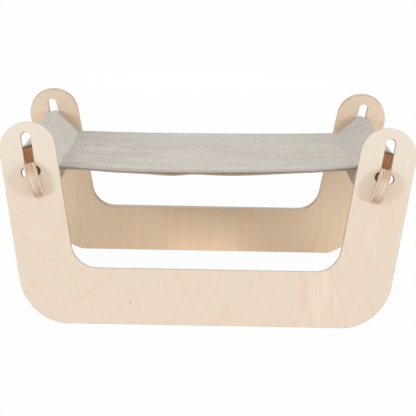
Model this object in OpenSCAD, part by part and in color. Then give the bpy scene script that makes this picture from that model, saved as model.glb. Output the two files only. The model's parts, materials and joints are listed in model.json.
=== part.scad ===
// Cat hammock: two splayed plywood frames, two crossbars that hook into keyholes, and a canvas sling.
// Millimetres, +Z up, origin on the floor at the middle of the footprint, front towards -Y.

/* [Frames] */
// Width of an upright, which is also the diameter of its round top
upright_w = 70; // [60:1:80]
// Thickness of the frames' plywood
frame_t = 12; // [9:0.5:15]
// Height of the base rail, measured along the frame
rail_h = 70; // [55:1:85]
// Distance between the centres of the two round tops
top_span = 451; // [420:1:500]
// Height of those centres, measured along the frame
top_rise = 216; // [205:1:250]
// Lean of each upright away from the middle, in degrees
lean = 10; // [5:0.5:13]
// Splay of each frame, tops towards each other, in degrees
splay = 10; // [6:0.5:12]
// Depth over the outer faces of the frames at the floor
base_depth = 450; // [400:1:520]
// Radius of the lower outer corners
corner_r = 66; // [45:1:75]
// Radius of the corners inside the U
inner_r = 33; // [20:1:45]
// Wood planed off the lower edge, so that the foot lies flat on the floor
foot_allow = 0.3; // [0.2:0.1:1]

/* [Keyholes] */
// Distance of the cross slot's axis below the centre of the round top
cross_drop = 28; // [23:0.5:35]
// Length of the cross slot beyond the thickness of a crossbar
cross_room = 12.5; // [8:0.5:16]
// Wood left above the slot
slot_land = 13; // [9:0.5:18]
// Room between a crossbar's thickness and the width of the slots
slot_clear = 0.5; // [0.3:0.1:1.2]

/* [Crossbars] */
// Thickness of the crossbars' plywood
bar_t = 12; // [9:0.5:15]
// Height of a crossbar above its pivot
bar_above = 27; // [22:1:34]
// Depth of a crossbar below its pivot
bar_below = 42; // [36:1:48]
// Tilt of a crossbar at rest, top edge outwards, in degrees
bar_tilt = 19; // [14:0.5:24]
// Turn of a crossbar each way from rest, in degrees
bar_swing = 10; // [5:0.5:12]
// Height of the pivot above the cross slot's axis
pivot_lift = 1; // [0:0.1:1.5]
// Room between the tongue's corners and the cross slot, at the end of the turn
tongue_clear = 0.2; // [0.15:0.05:0.6]
// Shift of a crossbar off its pivot, towards the pull of the sling
seat_shift = 2; // [0:0.1:2.5]
// Room between a crossbar's shoulder and the frame
shoulder_gap = 1.6; // [1.5:0.1:3]
// Radius of the half-round hook outside the frame
hook_r = 22; // [20:0.5:25]
// Distance of the hook's centre below the pivot
hook_drop = 12; // [10:0.5:14]
// Room between the hook and the frame
hook_gap = 0.9; // [0.8:0.1:2]

/* [Sling] */
// Thickness of one layer of canvas
cloth_t = 1.4; // [0.8:0.1:2]
// Room between the canvas and a crossbar
cloth_fit = 0.4; // [0.3:0.1:1]
// Distance of a seam from the pivot, towards the middle
seam_reach = 29; // [26:1:40]
// Height of a seam above the pivot
seam_rise = 2; // [0:0.5:4]
// Room between the sling's open ends and the frames, where they come closest
end_gap = 10; // [2:0.5:20]
// Room between the bed and a pocket at their seam
seam_gap = 0.3; // [0.2:0.1:0.6]
// Room between the two layers of the bed
layer_gap = 0.3; // [0.2:0.1:0.6]
// Sag of the bed's front edge at mid-span
sag_front = 5; // [2:0.5:14]
// Sag of the bed's rear edge at mid-span
sag_rear = 1; // [0.5:0.5:14]
// Further sag of the under layer at mid-span
under_sag = 1; // [0:0.5:4]

/* [Hidden] */
$fn = 96;

birch = "#EAD9C5";
bar_birch = "#E2CDB4";
canvas = "#CBC4BD";
under_canvas = "#B9AC9F";
// Cells of the bed's surface along X and along Y
bed_cells = [20, 6];
// Overlap of two shapes that become one piece
join = 1;
// Reach of a rounding circle past the lines that it rounds, so that it crosses them
crossing_over = 0.01;

upright_r = upright_w / 2;
top_x = top_span / 2;

slot_w = bar_t + slot_clear;
cross_l = bar_t + cross_room;

// Tongue: as high as the cross slot lets it turn to the far end of its range. The slot's axis drifts
// across the tilted tongue by slot_drift within the plywood.
far_turn = bar_tilt + bar_swing - lean;
slot_drift = sin(splay) * sin(bar_tilt + bar_swing) * frame_t / 2;
tongue_in = bar_t / 2 + slot_drift + seat_shift;
tongue_out = bar_t / 2 + slot_drift - seat_shift;
tongue_above = (slot_w / 2 - tongue_clear - pivot_lift - tongue_in * sin(far_turn)) / cos(far_turn);
tongue_below = (slot_w / 2 - tongue_clear + pivot_lift - tongue_out * sin(far_turn)) / cos(far_turn);

// Pivot of a crossbar, at mid-thickness of its frame
pivot_drop = cross_drop - pivot_lift;
pivot_s = top_rise - pivot_drop * cos(lean);
pivot_x = top_x - pivot_drop * sin(lean);
pivot_y = base_depth / 2 - pivot_s * sin(splay) - frame_t / 2 * cos(splay);
pivot_z = pivot_s * cos(splay) - frame_t / 2 * sin(splay);
// Angle, in a crossbar's own plane, that squares its ends to the splayed frames
end_turn = atan(tan(splay) * cos(bar_tilt));

// Half the sling's width: clear of the frames at the highest point that a pocket reaches
pocket_top = [bar_t / 2 + seat_shift + cloth_fit + cloth_t, bar_above + cloth_fit + cloth_t];
sling_half = frame_inner_y(pivot_z + norm(pocket_top)) - end_gap;

// Section of a pocket in a crossbar's axes: across the board, and up it
board_in = seat_shift + bar_t / 2 + cloth_fit;
board_out = seat_shift - bar_t / 2 - cloth_fit;
pocket_inside = [
    [board_out, bar_above + cloth_fit],
    [board_out, -bar_below - cloth_fit],
    [board_in, -bar_below - cloth_fit],
    [seam_reach * cos(bar_tilt) + seam_rise * sin(bar_tilt),
     seam_rise * cos(bar_tilt) - seam_reach * sin(bar_tilt)],
    [board_in, bar_above + cloth_fit]
];
pocket_outside = grown(pocket_inside, cloth_t);
pocket_nose = pocket_outside[3];

// The bed ends at the noses of the two pockets
bed_half = pivot_x - pocket_nose[0] * cos(bar_tilt) + pocket_nose[1] * sin(bar_tilt) - seam_gap;
bed_z = pivot_z + pocket_nose[0] * sin(bar_tilt) + pocket_nose[1] * cos(bar_tilt);

// Distance of a frame's inner face from the middle plane, at height z
function frame_inner_y(z) = base_depth / 2 - frame_t / cos(splay) - z * tan(splay);

// Point of the right upright: across its axis (outwards), at height s along the frame
function upright_point(across, s) =
    [top_x + across / cos(lean) + (s - top_rise) * tan(lean), s];

// Point of the right upright beside the centre of its round top
function upright_local(across) = [top_x + across * cos(lean), top_rise - across * sin(lean)];

// Direction d turned by an angle
function turned(d, angle) = [d[0] * cos(angle) - d[1] * sin(angle), d[0] * sin(angle) + d[1] * cos(angle)];

// Crossing of two lines, each given by a point and a direction
function crossing(p, d, q, e) =
    p + d * ((q - p)[0] * e[1] - (q - p)[1] * e[0]) / (d[0] * e[1] - d[1] * e[0]);

// A convex, counter-clockwise outline moved outwards by d
function grown(points, d) = [
    for (i = [0 : len(points) - 1])
        let (n = len(points),
             before = points[(i + n - 1) % n],
             here = points[i],
             after = points[(i + 1) % n],
             a = (here - before) / norm(here - before),
             b = (after - here) / norm(after - here))
        crossing(here + d * [a[1], -a[0]], a, here + d * [b[1], -b[0]], b)
];

// Drop of the bed at a place given as -1 to 1 along X and along Y, the front at -1
function bed_drop(x, y, extra) =
    ((sag_front + sag_rear) / 2 - (sag_front - sag_rear) / 2 * y + extra) * (1 - x * x);

// Distance along the mid-thickness line of the shoulder, at height v up the crossbar
function shoulder_u(v) =
    let (h = frame_t / 2 + shoulder_gap)
    pivot_y - h / cos(end_turn) - v * tan(end_turn);

// Upright slot that ends in a cross slot with round ends, on the axis of an upright
module keyhole() {
    slot_end = upright_r - slot_land - slot_w / 2;
    cross_end = (cross_l - slot_w) / 2;
    translate([-slot_w / 2, -cross_drop])
        square([slot_w, slot_end + cross_drop]);
    translate([0, slot_end])
        circle(slot_w / 2);
    translate([-cross_end, -cross_drop - slot_w / 2])
        square([2 * cross_end, slot_w]);
    for (side = [-1, 1])
        translate([side * cross_end, -cross_drop])
            circle(slot_w / 2);
}

// Region between a sharp corner and the circle that rounds it, past the corner by join
module corner_web(centre, radius, sharp) {
    out = (sharp - centre) / norm(sharp - centre);
    touch = sqrt(pow(norm(sharp - centre), 2) - pow(radius, 2));
    half_turn = asin(radius / norm(sharp - centre));
    difference() {
        polygon([
            sharp - touch * turned(out, half_turn),
            sharp + join * out,
            sharp - touch * turned(out, -half_turn)
        ]);
        translate(centre)
            circle(radius + crossing_over);
    }
}

// Outline of one U-shaped frame, foot at -foot_allow
module frame_outline() {
    foot = -foot_allow;
    outer_corner = upright_point(upright_r, foot);
    outer_centre = upright_point(upright_r, foot + corner_r) - [corner_r / cos(lean), 0];
    inner_corner = upright_point(-upright_r, rail_h);
    inner_centre = upright_point(-upright_r, rail_h + inner_r) - [inner_r / cos(lean), 0];
    half = [outer_corner, upright_local(upright_r), upright_local(-upright_r), inner_corner];
    other_half = [for (i = [len(half) - 1 : -1 : 0]) [-half[i][0], half[i][1]]];
    difference() {
        union() {
            polygon(concat(half, other_half));
            for (side = [0, 1])
                mirror([side, 0]) {
                    corner_web(inner_centre, inner_r, inner_corner);
                    translate([top_x, top_rise])
                        circle(upright_r);
                }
        }
        for (side = [0, 1])
            mirror([side, 0]) {
                corner_web(outer_centre, corner_r, outer_corner);
                translate([top_x, top_rise])
                    rotate(-lean)
                        keyhole();
            }
    }
}

// Frame in its place at the front, its foot cut level with the floor
module frame_panel() {
    reach = top_span + upright_w + top_rise;
    depth = frame_t + join;
    difference() {
        translate([0, -base_depth / 2, 0])
            rotate([90 - splay, 0, 0])
                translate([0, 0, -frame_t])
                    linear_extrude(frame_t)
                        frame_outline();
        translate([-reach / 2, -base_depth / 2 - depth, -depth])
            cube([reach, 3 * depth, depth]);
    }
}

// End of a crossbar, square to the frame: tongue through the cross slot and half-round hook outside it
module bar_end() {
    hook_x = frame_t / 2 + hook_gap;
    shoulder_x = frame_t / 2 + shoulder_gap;
    translate([-shoulder_x - join, -tongue_below])
        square([shoulder_x + hook_x + 2 * join, tongue_above + tongue_below]);
    intersection() {
        translate([hook_x, -hook_drop])
            circle(hook_r);
        translate([hook_x, -hook_drop - 2 * hook_r])
            square([2 * hook_r, 4 * hook_r]);
    }
}

// Outline of a crossbar: board with slanted shoulders, and an end at each side
module bar_outline() {
    polygon([
        [-shoulder_u(bar_above), bar_above],
        [-shoulder_u(-bar_below), -bar_below],
        [shoulder_u(-bar_below), -bar_below],
        [shoulder_u(bar_above), bar_above]
    ]);
    for (side = [0, 1])
        mirror([side, 0])
            translate([pivot_y, 0])
                rotate(end_turn)
                    bar_end();
}

// Axes of the left crossbar: X across the board towards the middle, Z up the board
module on_left_bar() {
    translate([-pivot_x, 0, pivot_z])
        rotate([0, -bar_tilt, 0])
            children();
}

module crossbar() {
    on_left_bar()
        translate([seat_shift, 0, 0])
            rotate([90, 0, 90])
                linear_extrude(bar_t, center = true)
                    bar_outline();
}

// Sleeve of canvas round a crossbar, drawn out to the seam of the bed
module pocket() {
    on_left_bar()
        rotate([90, 0, 0])
            linear_extrude(2 * sling_half, center = true)
                difference() {
                    polygon(pocket_outside);
                    polygon(pocket_inside);
                }
}

// One layer of the bed, its upper face at height top, sagging between the seams
module bed_layer(top, extra) {
    nx = bed_cells[0];
    ny = bed_cells[1];
    row = nx + 1;
    count = row * (ny + 1);
    function at(i, j, side) = side * count + j * row + i;
    points = [
        for (side = [0, 1], j = [0 : ny], i = [0 : nx])
            let (x = 2 * i / nx - 1, y = 2 * j / ny - 1)
            [x * bed_half, y * sling_half, top - side * cloth_t - bed_drop(x, y, extra)]
    ];
    upper = [for (j = [0 : ny - 1], i = [0 : nx - 1], half = [0, 1])
        half == 0 ? [at(i, j, 0), at(i, j + 1, 0), at(i + 1, j + 1, 0)]
                  : [at(i, j, 0), at(i + 1, j + 1, 0), at(i + 1, j, 0)]];
    lower = [for (f = upper) [f[2] + count, f[1] + count, f[0] + count]];
    rim = concat(
        [for (i = [0 : nx - 1]) at(i, 0, 0)],
        [for (j = [0 : ny - 1]) at(nx, j, 0)],
        [for (i = [nx : -1 : 1]) at(i, ny, 0)],
        [for (j = [ny : -1 : 1]) at(0, j, 0)]
    );
    edge = [for (k = [0 : len(rim) - 1], half = [0, 1])
        let (a = rim[k], b = rim[(k + 1) % len(rim)])
        half == 0 ? [a, b, b + count] : [a, b + count, a + count]];
    polyhedron(points = points, faces = concat(upper, lower, edge));
}

module front_frame() { color(birch) frame_panel(); }
module rear_frame() { color(birch) mirror([0, 1, 0]) frame_panel(); }
module left_crossbar() { color(bar_birch) crossbar(); }
module right_crossbar() { color(bar_birch) mirror([1, 0, 0]) crossbar(); }
module left_pocket() { color(canvas) pocket(); }
module right_pocket() { color(canvas) mirror([1, 0, 0]) pocket(); }
module bed_upper() { color(canvas) bed_layer(bed_z + layer_gap / 2 + cloth_t, 0); }
module bed_under() { color(under_canvas) bed_layer(bed_z - layer_gap / 2, under_sag); }

front_frame();
rear_frame();
left_crossbar();
right_crossbar();
left_pocket();
right_pocket();
bed_upper();
bed_under();
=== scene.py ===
"""Looks of the cat hammock: eased plywood, hooked crossbars, sewn canvas sling, and a plain studio."""
import json
import math
from collections import namedtuple

import bpy
import numpy as np
from bpy.props import FloatProperty, FloatVectorProperty, IntProperty, PointerProperty
from mathutils import Matrix, Vector


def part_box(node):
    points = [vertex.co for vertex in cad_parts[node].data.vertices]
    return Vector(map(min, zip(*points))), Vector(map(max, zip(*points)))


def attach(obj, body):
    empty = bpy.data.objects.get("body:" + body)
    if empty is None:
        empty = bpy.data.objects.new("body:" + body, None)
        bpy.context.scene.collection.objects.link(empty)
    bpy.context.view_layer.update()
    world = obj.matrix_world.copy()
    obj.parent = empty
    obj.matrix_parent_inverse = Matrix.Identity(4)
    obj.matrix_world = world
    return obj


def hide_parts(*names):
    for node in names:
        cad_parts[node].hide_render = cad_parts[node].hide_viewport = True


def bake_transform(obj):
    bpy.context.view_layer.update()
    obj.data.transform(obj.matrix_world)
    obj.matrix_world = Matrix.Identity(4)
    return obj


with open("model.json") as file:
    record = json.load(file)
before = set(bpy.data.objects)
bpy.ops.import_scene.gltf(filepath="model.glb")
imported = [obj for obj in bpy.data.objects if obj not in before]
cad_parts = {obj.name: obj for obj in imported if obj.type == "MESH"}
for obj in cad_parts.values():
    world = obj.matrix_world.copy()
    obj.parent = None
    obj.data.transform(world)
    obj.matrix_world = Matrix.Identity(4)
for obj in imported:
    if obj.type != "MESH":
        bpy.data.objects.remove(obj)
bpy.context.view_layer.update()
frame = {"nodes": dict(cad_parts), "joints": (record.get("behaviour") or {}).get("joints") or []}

bl_info = {
    "name": "Cat hammock",
    "version": (1, 0, 0),
    "blender": (4, 5, 0),
    "location": "View3D > Sidebar > Hammock",
    "description": "Dresses the packed cat hammock with plywood, canvas, thread and a studio",
    "category": "Object",
}

MM = 0.001
SIDES = {"left": -1, "right": 1}
ENDS = {"front": -1, "rear": 1}

# Node settings that come up again and again: a mix of colours, and a range with soft ends
COLOUR = {"data_type": "RGBA"}
SOFT = {"interpolation_type": "SMOOTHSTEP"}

# Veneer of each frame, in mm across the grain from the middle and along it from the foot: pin knots
# (across, along, radius), a top colour of painted light (from, to, colour), a let-in patch, painted light
# and shade up the rail (at its sides left foot, right foot, head; in its middle foot, head), a
# straight-grained stretch (from, to), the strength of the figure and the seed of its noise
FRAME_LOOKS = {
    "front": {
        "knots": ((-94, 28, 1.8), (204, 87, 1.1), (-190, 79, 0.9)),
        # Painted light: the front frame grows paler towards the upper ends of its uprights, where more light
        # falls
        "tops": (150, 235, "#DFD2C3"),
        "patch": {"across": 147, "along": 37.5, "half_width": 17, "half_length": 33.5,
                  "light": "#E3D3BF", "dark": "#DCCAB2"},
        "bold": 1.0,
        "seed": 2.4,
    },
    "rear": {
        "knots": ((208.7, 103, 1.2), (202, 84, 1.2), (200.5, 72, 0.9), (64, 34, 1.0), (58, 66, 0.9)),
        # Painted light and shade: a top colour, less warm than the rear face, that stands in for the light
        # on the upper ends
        "tops": (200, 238, "#DFCCB6"),
        # Painted light and shade: in the rail's middle lighter at the foot, where light comes in under the
        # bed, and darker at the head, in the bed's shade
        "drift": ((0.945, 1.03, 1.015), (1.17, 0.86)),
        "straight": (-120, 90),
        "bold": 1.4,
        "seed": 7.9,
    },
}
# Cross slots of the keyholes in the same mm: distance from the middle, foot and head
CROSS_SLOT = (222, 178, 197)
# Figure of the crossbars: its strength and the seed of its noise
BAR_BOLD, BAR_SEED = 1.5, 11.3

# Pull folds: side, place along Y at the seam, drift to the front, half width, height, reach
PULLS = (
    (-1, 0.062, 0.000, 0.013, 2.4 * MM, 0.070),
    (-1, -0.020, -0.025, 0.018, 4.2 * MM, 0.140),
    (-1, -0.066, 0.010, 0.013, 4.2 * MM, 0.120),
    (-1, -0.088, 0.050, 0.013, 4.2 * MM, 0.120),
    (-1, -0.148, 0.015, 0.008, 2.2 * MM, 0.060),
    (1, 0.052, 0.000, 0.011, 2.0 * MM, 0.060),
    (1, -0.001, 0.000, 0.010, 2.0 * MM, 0.070),
    (1, -0.040, 0.000, 0.010, 1.4 * MM, 0.060),
    (1, -0.075, 0.000, 0.010, 1.3 * MM, 0.080),
    (1, -0.134, 0.000, 0.011, 2.1 * MM, 0.080),
)
FOLD_START = 10 * MM  # stretch from the seam over which a fold rises
FOLD_DRIFT = 35 * MM  # stretch from the seam over which most of its drift happens
FOLD_END = 1.3        # a fold ends here, in half lengths of the bed from its seam
# Bellies of the under layer: from x, to x, depth, lean of the deepest place to the right
BELLIES = ((-0.135, -0.014, 2.4 * MM, 2.2), (-0.020, 0.150, 2.2 * MM, 0.6))
# Painted shade of the upper layer along its length in mm, from one pocket over the bed to the other: darker
# towards the seams and on the right pocket
PAINTED_SHADES = ((-320, 0.965), (-191, 0.965), (-188, 0.89), (-178, 0.86), (-170, 0.885), (-160, 0.91),
          (-135, 0.945), (-80, 0.975), (-50, 1.015), (0, 1.01), (40, 1.0), (140, 1.0), (160, 0.99),
          (178, 0.97), (188, 0.945), (194, 0.865), (215, 0.875), (320, 0.875))

# Make of the sling
LAYER_GAP = 0.15 * MM    # between the two layers of the bed
UNDER_HEM = 0.5          # share of the hem's height that the under layer has
HEM_DIP = 0.45           # share of the hem's height that its stitches press down
STITCH_INSET = 1.7 * MM  # distance of the hem stitches from the hem's inner edge
SEAM_INSET = 5 * MM      # distance of the seam stitches from the bed's end
TURN_RADIUS = 2.4 * MM   # of the cloth at the seam and round a crossbar
SEAM_LEAD = 7 * MM       # last stretch of the bed before its seam
SEAM_PAST = 1 * MM       # how far past the seam the end of the pocket is sewn in
# Counts of points: across the field between the hems, along each layer of the bed, on the straights of the
# pocket from the bed's last point round the crossbar and back, and on each turn
FIELD_ROWS = 96
UPPER_STEPS = 56
UNDER_STEPS = 58
POCKET_STEPS = (2, 12, 4, 20, 4, 14)
TURN_STEPS = 5
UPPER_SEAM = UPPER_STEPS - 1 + POCKET_STEPS[0] + TURN_STEPS // 2  # point in the middle of the seam's turn
UNDER_SEAM = UNDER_STEPS - 2                                      # last point but one
# Rounded edge of a hem: out and up, as shares of half its thickness
HEM_CAP = ((0.55, 0.72), (0.8, 0.0), (0.55, -0.72))

# Studio: each lamp's place and the length of its side, where the lamps aim, and the floor
LAMPS = {"left_lamp": ((-1.65, -1.95, 0.62), 0.28), "right_lamp": ((1.85, -1.8, 0.62), 0.28),
         "front_lamp": ((0, -2.8, 1.18), 0.42), "rear_lamp": ((0, 2.8, 0.85), 0.8)}
LAMP_AIM = (0, 0, 0.13)
FLOOR_SIZE = 60
FLOOR_WHITE = 0.96  # share of plain white in the floor as it is seen; the rest takes the shadows
SENSOR_MM = 36

Cloth = namedtuple("Cloth", "points faces uv paths normals")


def linear(colour):
    """Linear RGB of an sRGB hex colour."""
    parts = [int(colour[i:i + 2], 16) / 255 for i in (1, 3, 5)]
    return tuple(c / 12.92 if c <= 0.04045 else ((c + 0.055) / 1.055) ** 2.4 for c in parts)


def rgba(colour):
    return (*colour, 1.0)


def length(name, description, default, low=0.0):
    return FloatProperty(name=name, description=description, default=default, min=low, unit="LENGTH",
                         precision=5)


def lift(name, default):
    return length(name, "Height of the seam above its solid at this corner", default, low=-20 * MM)


def angle(name, description, default):
    return FloatProperty(name=name, description=description, default=default, subtype="ANGLE")


def power(name, default):
    return FloatProperty(name=name, description="Power of this lamp", default=default, unit="POWER")


def colour(name, description, default):
    return FloatVectorProperty(name=name, description=description, default=linear(default), size=3,
                               min=0, max=1, subtype="COLOR")


class PlywoodSettings(bpy.types.PropertyGroup):
    """Plywood of the frames and the crossbars."""
    edge_ease: length("Eased edge", "Radius to which the frames' edges are sanded", 1.2 * MM)
    bar_ease: length("Eased bar edge", "Radius to which the crossbars' edges are sanded", 0.8 * MM)
    thickness: length("Thickness", "Thickness of the plywood", 12 * MM)
    plies: IntProperty(name="Plies", description="Veneers in the plywood", default=9, min=3)
    splay: angle("Splay", "Lean of each frame towards the other", math.radians(10))
    tilt: angle("Tilt", "Tilt of each crossbar, top edge outwards", math.radians(19))
    front_face: colour("Front face", "Colour of the front frame's veneer", "#DDCDBB")
    # Painted light: the rear frame's veneer is set warmer and paler than the front's, standing in for the
    # warm bounced light in its shade
    rear_face: colour("Rear face", "Colour of the rear frame's veneer", "#EDD6BB")
    bar_face: colour("Bar face", "Colour of the crossbars' veneer", "#E8D7C6")
    figure: colour("Figure", "Share of the face colour that a late-wood line keeps", "#FFF6EE")
    end_grain: colour("End grain", "Colour of a face-way veneer cut across its fibres", "#D3BDA7")
    bar_end_grain: colour("Bar end grain", "The same on the crossbars, which are cut rougher", "#C0A48B")
    cross_end_grain: colour("Cross end grain", "Colour of a cross veneer cut across its fibres", "#BC9069")
    # Painted shade: the brown given to the crossbars' ends and to the slot walls where they lie in shade
    # inside the frames, with its warm bounced light
    slot_shade: colour("Slot shade", "Colour of wood that the cutter browned", "#BF8048")
    knot: colour("Knot", "Colour of a pin knot and of a glue line", "#BC733A")


class CanvasSettings(bpy.types.PropertyGroup):
    """Canvas sling."""
    thickness: length("Thickness", "Thickness of one layer", 1.4 * MM)
    fit: length("Fit", "Room between the canvas and a crossbar", 0.4 * MM)
    hem: length("Hem", "Width of the hem along the open edges", 11 * MM)
    hem_height: length("Hem height", "Extra thickness of the hem", 0.9 * MM)
    bar_above: length("Bar above pivot", "Height of a crossbar above its pivot", 27 * MM)
    bar_below: length("Bar below pivot", "Depth of a crossbar below its pivot", 42 * MM)
    seat_shift: length("Seat shift", "Shift of a crossbar off its pivot, towards the middle", 2 * MM)
    seam_bow: length("Seam bow", "How far the middle of a seam bows inwards", 4.2 * MM)
    corner_pull: length("Corner pull", "How far the right front corner is drawn to the middle", 3.6 * MM)
    sag_front: length("Front sag", "Sag of the front edge at mid-span", 6.5 * MM)
    sag_rear: length("Rear sag", "Sag of the rear edge at mid-span", 2.0 * MM)
    lift_front_left: lift("Front left lift", -1.5 * MM)
    lift_rear_left: lift("Rear left lift", -3.9 * MM)
    lift_front_right: lift("Front right lift", 5.0 * MM)
    lift_rear_right: lift("Rear right lift", -0.1 * MM)
    stitch: length("Stitch", "Distance from one stitch to the next", 4 * MM)
    thread: length("Thread", "Diameter of the sewing thread", 0.6 * MM)
    light_yarn: colour("Light yarn", "Lightest yarn of the melange", "#F8F4EE")
    dark_yarn: colour("Dark yarn", "Darkest yarn of the melange", "#CFC8BE")
    # Painted shade: the folded front edge is coloured darker, standing in for the shade on its rounded side,
    # which turns down away from the light
    shaded_edge: colour("Folded edge", "Colour of the hem along its fold", "#B4ACA7")
    # Painted shade: the under layer is the same canvas, coloured darker and browner to stand in for the
    # shade under the bed and the warm light bounced off the wood; its folded edge darker still by the
    # corners, in the shade between the two hems
    under_shaded_light: colour("Under light yarn", "Lightest yarn of the under layer", "#B9A48F")
    under_shaded_dark: colour("Under dark yarn", "Darkest yarn of the under layer", "#97826D")
    under_shaded_edge: colour("Under folded edge", "Colour of the under layer along its fold", "#AD9782")
    under_shaded_corner: colour("Under corner edge", "Colour of the same fold by the corners", "#A39487")
    doubled: colour("Doubled", "Share of its colour that the cloth keeps on a hem", "#F3F0F2")
    band: colour("Band", "Share of its colour that the cloth keeps in a browner band", "#FCF7F3")
    sewing: colour("Thread colour", "Colour of the sewing thread", "#CFC8BF")


class StageSettings(bpy.types.PropertyGroup):
    """Floor, lamps and camera."""
    lens: FloatProperty(name="Lens", description="Focal length on a 36 mm sensor", default=139.88,
                        subtype="DISTANCE_CAMERA")
    eye: FloatVectorProperty(name="Eye", description="Place of the camera", size=3, unit="LENGTH",
                             default=(-0.00894, -2.18036, 0.52514))
    pan: angle("Pan", "Turn of the camera to the right", 0.00506)
    dip: angle("Dip", "Tilt of the camera below the horizon", 0.18959)
    roll: angle("Roll", "Roll of the camera", -0.01949)
    floor: colour("Floor", "Colour of the studio floor", "#F4F2EF")
    fill: FloatProperty(name="Fill", description="Strength of the light from all round", default=0.68)
    front_share: FloatProperty(name="Front share", description="How much more fill comes from the front",
                               default=0.22, subtype="FACTOR")
    left_lamp: power("Left lamp", 13.2)
    right_lamp: power("Right lamp", 13.8)
    front_lamp: power("Front lamp", 3.6)
    rear_lamp: power("Rear lamp", 6)


class HammockSettings(bpy.types.PropertyGroup):
    """All sizes and colours of the scene."""
    plywood: PointerProperty(name="Plywood", type=PlywoodSettings)
    canvas: PointerProperty(name="Canvas", type=CanvasSettings)
    stage: PointerProperty(name="Stage", type=StageSettings)


# Modelling helpers


def only(piece):
    """Selects one object alone and makes it active."""
    bpy.ops.object.select_all(action="DESELECT")
    piece.select_set(True)
    bpy.context.view_layer.objects.active = piece


def mesh_piece(name, points, faces, uv=None):
    """New object from points and faces, with a UV per point where given."""
    mesh = bpy.data.meshes.new(name)
    mesh.from_pydata([tuple(p) for p in points], [], faces)
    if uv is not None:
        layer = mesh.uv_layers.new(name="cloth")
        corners = np.zeros(len(mesh.loops), np.int32)
        mesh.loops.foreach_get("vertex_index", corners)
        layer.data.foreach_set("uv", np.asarray(uv, np.float32)[corners].ravel())
    mesh.update()
    piece = bpy.data.objects.new(name, mesh)
    bpy.context.scene.collection.objects.link(piece)
    return piece


def paint(piece, material):
    piece.data.materials.clear()
    piece.data.materials.append(material)


def eased_copy(node, name, radius):
    """Copy of a CAD node with its triangles joined to clean faces and its edges rounded over."""
    piece = bpy.data.objects.new(name, frame["nodes"][node].data.copy())
    bpy.context.scene.collection.objects.link(piece)
    only(piece)
    bpy.ops.object.mode_set(mode="EDIT")
    bpy.ops.mesh.select_all(action="SELECT")
    bpy.ops.mesh.remove_doubles(threshold=1e-6)
    bpy.ops.mesh.dissolve_limited(angle_limit=math.radians(1))
    bpy.ops.object.mode_set(mode="OBJECT")
    bpy.ops.object.modifier_add(type="BEVEL")
    bevel = piece.modifiers[-1]
    bevel.width = radius
    bevel.segments = 4
    bevel.limit_method = "ANGLE"
    bevel.angle_limit = math.radians(40)
    bpy.ops.object.modifier_apply(modifier=bevel.name)
    bpy.ops.object.shade_smooth()
    bpy.ops.object.modifier_add(type="WEIGHTED_NORMAL")
    weighted = piece.modifiers[-1]
    weighted.weight = 100
    bpy.ops.object.modifier_apply(modifier=weighted.name)
    return piece


# Materials

# Sockets go by number: 2 and 3 are the two numbers of a Mix node, 6 and 7 its two colours. A MapRange node
# takes the range from 1 to 2 to the one from 3 to 4, or to 0 and 1 where those aren't given.


def add(tree, kind, sockets=None, operation=None, **settings):
    """Adds a node, sets it, and fills its sockets with values or with other nodes' first results."""
    made = tree.nodes.new("ShaderNode" + kind)
    if operation:
        made.operation = operation
    for key, value in settings.items():
        setattr(made, key, value)
    for key, value in (sockets or {}).items():
        if isinstance(value, bpy.types.Node):
            value = next(output for output in value.outputs if output.enabled)
        if isinstance(value, bpy.types.NodeSocket):
            tree.links.new(value, made.inputs[key])
        else:
            made.inputs[key].default_value = value
    return made


def new_material(name):
    material = bpy.data.materials.new(name)
    material.use_nodes = True
    material.node_tree.nodes.clear()
    return material, material.node_tree


def set_greys(ramp, stops):
    """Gives a colour ramp its greys: places from 0 to 1 in order, each with its level."""
    for place, _ in stops[1:-1]:
        ramp.elements.new(place)
    for element, (_, level) in zip(ramp.elements, stops):
        element.color = rgba((level,) * 3)


def streaks(tree, place, sizes, detail, roughness=0.5):
    """Uneven streaks with their sizes in mm each way. They don't change along a way whose size is 0."""
    per_mm = [1 / size if size else 0 for size in sizes]
    drawn = add(tree, "VectorMath", {0: place, 1: per_mm}, "MULTIPLY")
    return add(tree, "TexNoise", {"Vector": drawn, "Scale": 1.0, "Detail": detail, "Roughness": roughness})


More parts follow.
